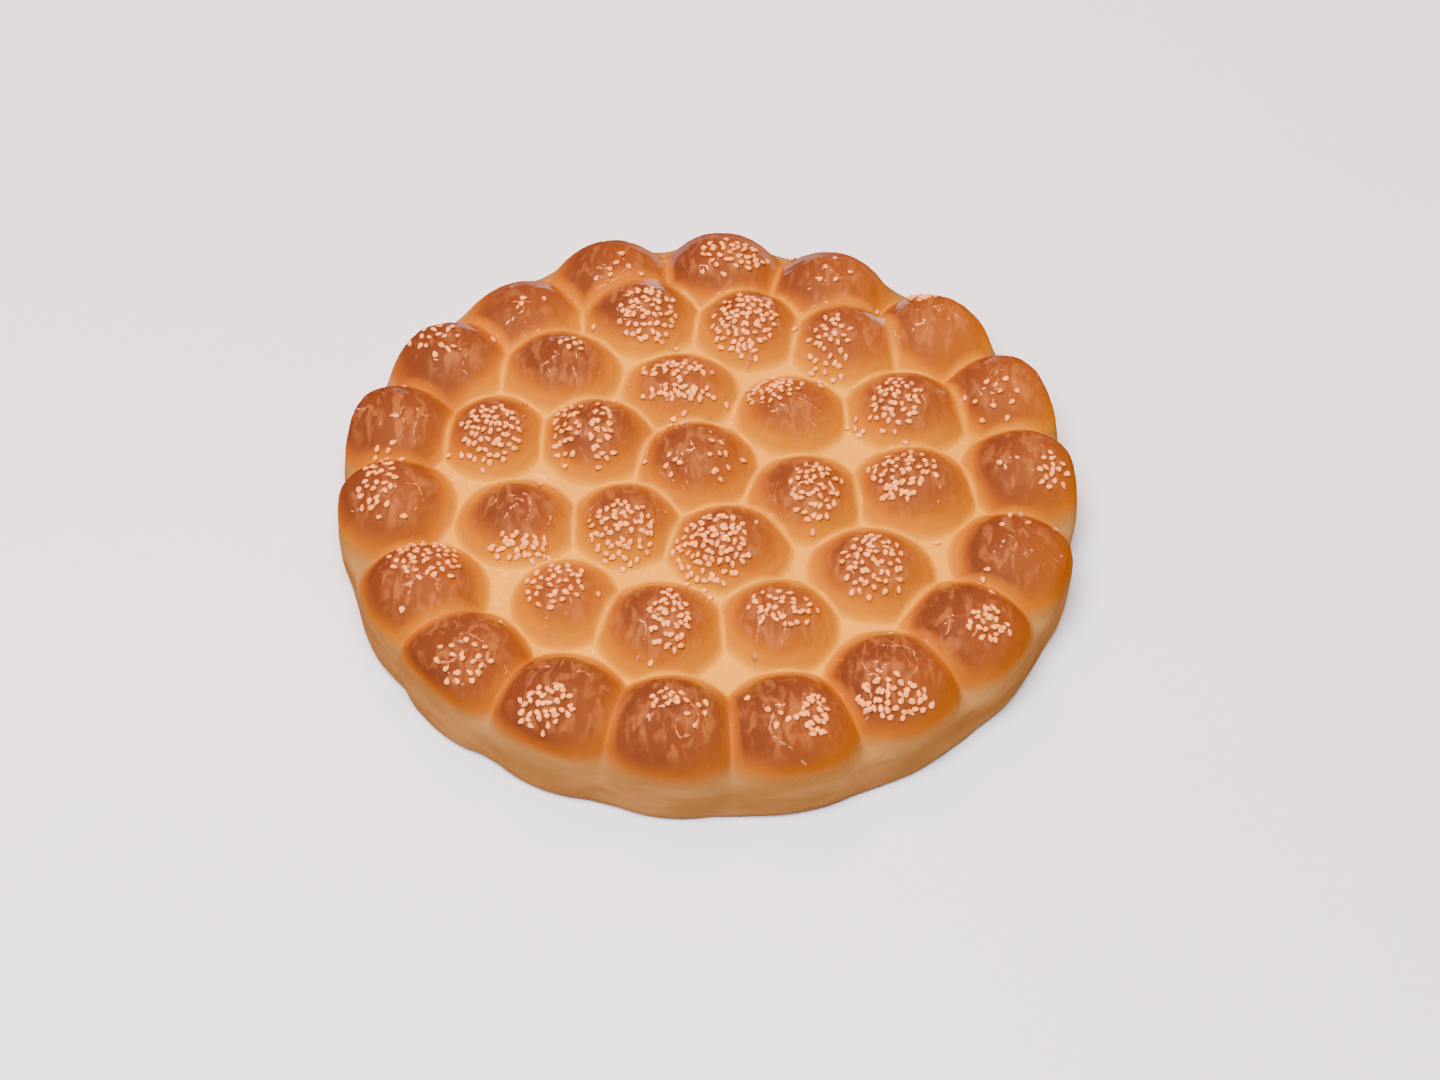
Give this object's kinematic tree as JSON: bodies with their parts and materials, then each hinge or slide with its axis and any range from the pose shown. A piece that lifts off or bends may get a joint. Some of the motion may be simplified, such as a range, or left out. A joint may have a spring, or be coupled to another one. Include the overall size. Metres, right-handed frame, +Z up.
{
  "type": "honeycomb bread",
  "caption": "Round pull-apart loaf of small domed buns that were baked together in a round pan, glazed with syrup and sprinkled with sesame.",
  "frame": {"origin": "middle of the flat base, on the surface that the loaf stands on", "axes": "+Z up; +Y towards the back of the loaf as pictured, +X to its right"},
  "size_m": [0.2689, 0.269, 0.04],
  "materials": {
    "crust": "baked crust under syrup, brown on the domes and pale gold in the seams",
    "sesame": "cream white sesame seed",
    "syrup": "clear amber syrup"
  },
  "bodies": {
    "root": {"loaf": "crust"}
  },
  "joints": []
}
